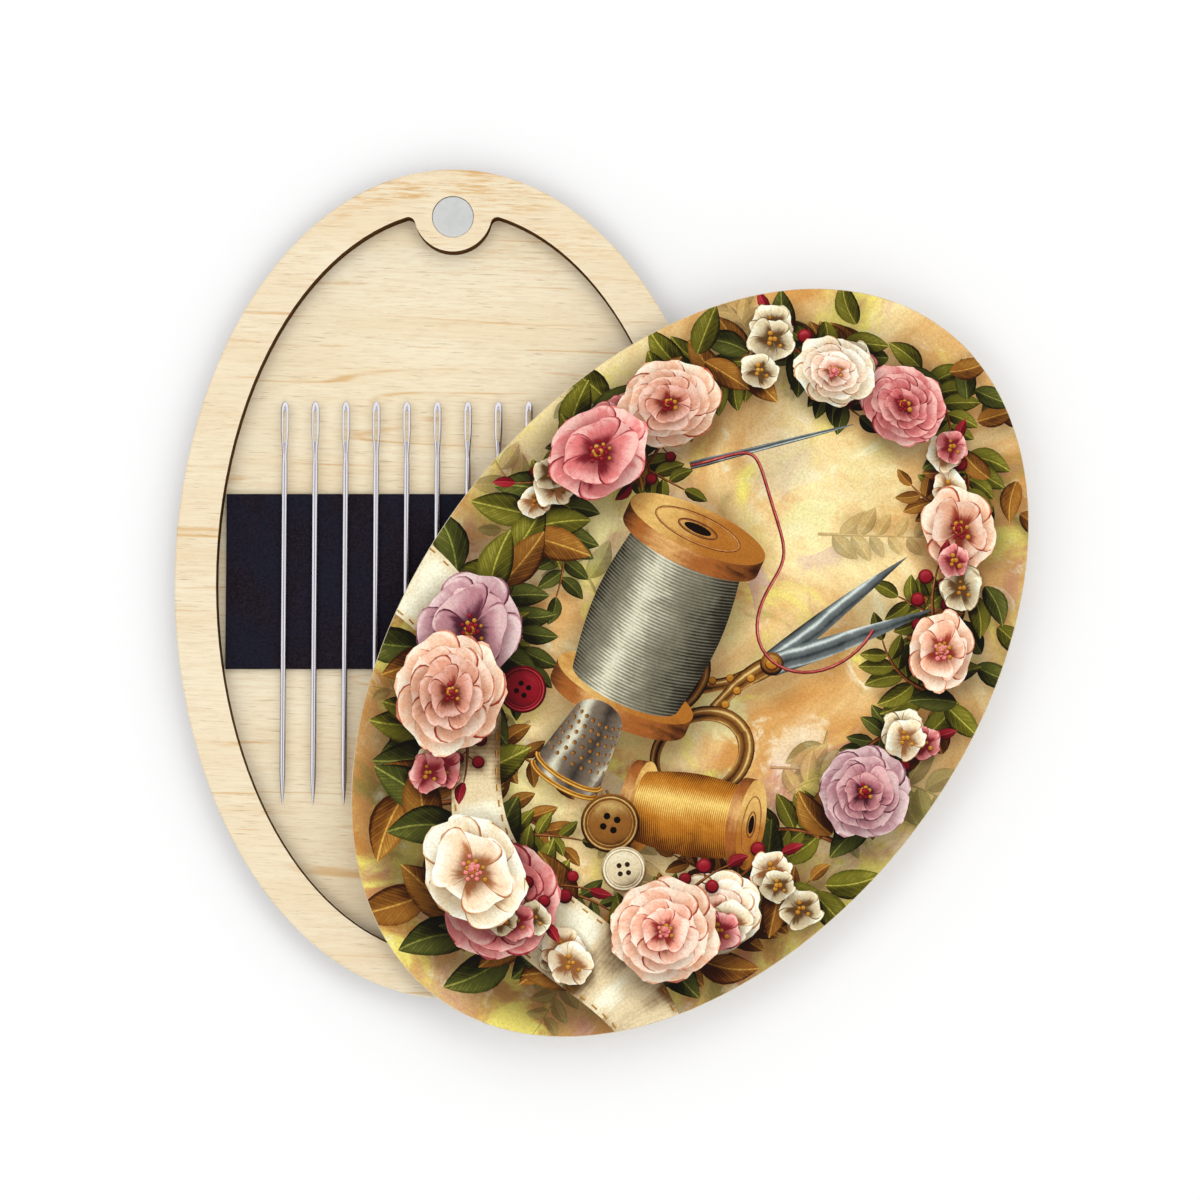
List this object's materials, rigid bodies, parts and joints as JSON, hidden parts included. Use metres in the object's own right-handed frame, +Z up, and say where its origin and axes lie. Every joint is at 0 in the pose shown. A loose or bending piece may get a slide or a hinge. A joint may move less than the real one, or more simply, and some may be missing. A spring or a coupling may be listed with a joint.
{
  "type": "needle box",
  "caption": "Flat oval wooden needle box with a printed swivel lid, a magnetic closure and a magnetic strip that holds sewing needles in its recess.",
  "frame": {"origin": "centre of the base plate's underside, on the surface that the box lies on", "axes": "+Z up through the lid; +Y from the pivot end to the magnet end of the case; +X to the side that the lid is swung out to"},
  "size_m": [0.1228, 0.1251, 0.0101],
  "materials": {
    "plywood": "bare laser-cut birch plywood, satin, with scorched cut edges",
    "printed_board": "birch plywood with a matt printed top face",
    "magnet_nickel": "nickel plated, satin",
    "magnetic_rubber": "matt black flexible magnetic sheet",
    "needle_steel": "polished nickel-plated steel",
    "screw_steel": "zinc plated"
  },
  "bodies": {
    "case": {"base_plate": "plywood", "frame_ring": "plywood", "frame_magnet": "magnet_nickel", "magnetic_strip": "magnetic_rubber", "needle_01": "needle_steel", "needle_02": "needle_steel", "needle_03": "needle_steel", "needle_04": "needle_steel", "needle_05": "needle_steel", "needle_06": "needle_steel", "needle_07": "needle_steel", "needle_08": "needle_steel", "needle_09": "needle_steel", "needle_10": "needle_steel", "needle_11": "needle_steel", "needle_12": "needle_steel"},
    "lid": {"lid_lining": "plywood", "lid_face": "printed_board", "lid_magnet": "magnet_nickel", "pivot_screw": "screw_steel"}
  },
  "joints": [
    {"name": "lid_swivel", "type": "hinge", "parent": "case", "child": "lid", "pos_m": [0, -0.0565, 0.0061], "axis": [0, 0, 1], "range_deg": [-142.5, 37.5]}
  ]
}
